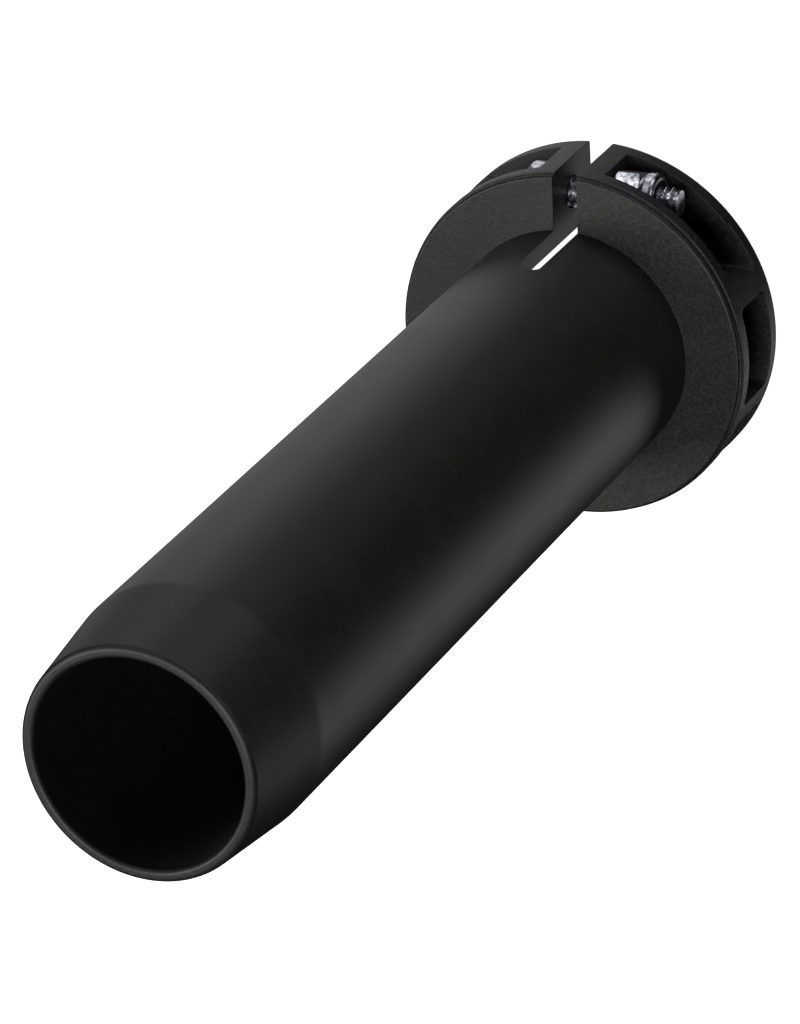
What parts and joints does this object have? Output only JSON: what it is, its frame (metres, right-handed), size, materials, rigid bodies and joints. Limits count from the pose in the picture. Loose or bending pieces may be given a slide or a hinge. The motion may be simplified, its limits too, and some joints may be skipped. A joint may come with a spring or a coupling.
{
  "type": "throttle tube",
  "caption": "Throttle grip tube for a handlebar, with a tapered open end and a split collar that a cross screw and a captive lock nut clamp.",
  "frame": {"origin": "centre of the handlebar bore on the collar's inboard face", "axes": "+Z along the tube to its tapered end, +Y out through the slit, +X from the screw's head to the nut"},
  "size_m": [0.0406, 0.0406, 0.1185],
  "materials": {
    "sleeve_nylon": "moulded glass-filled nylon, black, fine matte grain",
    "screw_steel": "bright zinc plating",
    "nut_steel": "bright zinc plating",
    "insert_nylon": "moulded nylon, dark grey with a violet cast"
  },
  "bodies": {
    "sleeve": {"grip_sleeve": "sleeve_nylon"},
    "screw": {"clamp_screw": "screw_steel"},
    "nut": {"lock_nut": "nut_steel", "nut_insert": "insert_nylon"}
  },
  "joints": [
    {"name": "screw_turn", "type": "hinge", "parent": "sleeve", "child": "screw", "pos_m": [0, 0.01616, 0.0053], "axis": [-1, 0, 0], "range_deg": [0, 1080]},
    {"name": "nut_travel", "type": "slide", "parent": "sleeve", "child": "nut", "axis": [1, 0, 0], "range_m": [0, 0.00238]}
  ],
  "couplings": [
    {"joint": "screw_turn", "follows": "nut_travel", "rad_per_m": 7915.8}
  ]
}
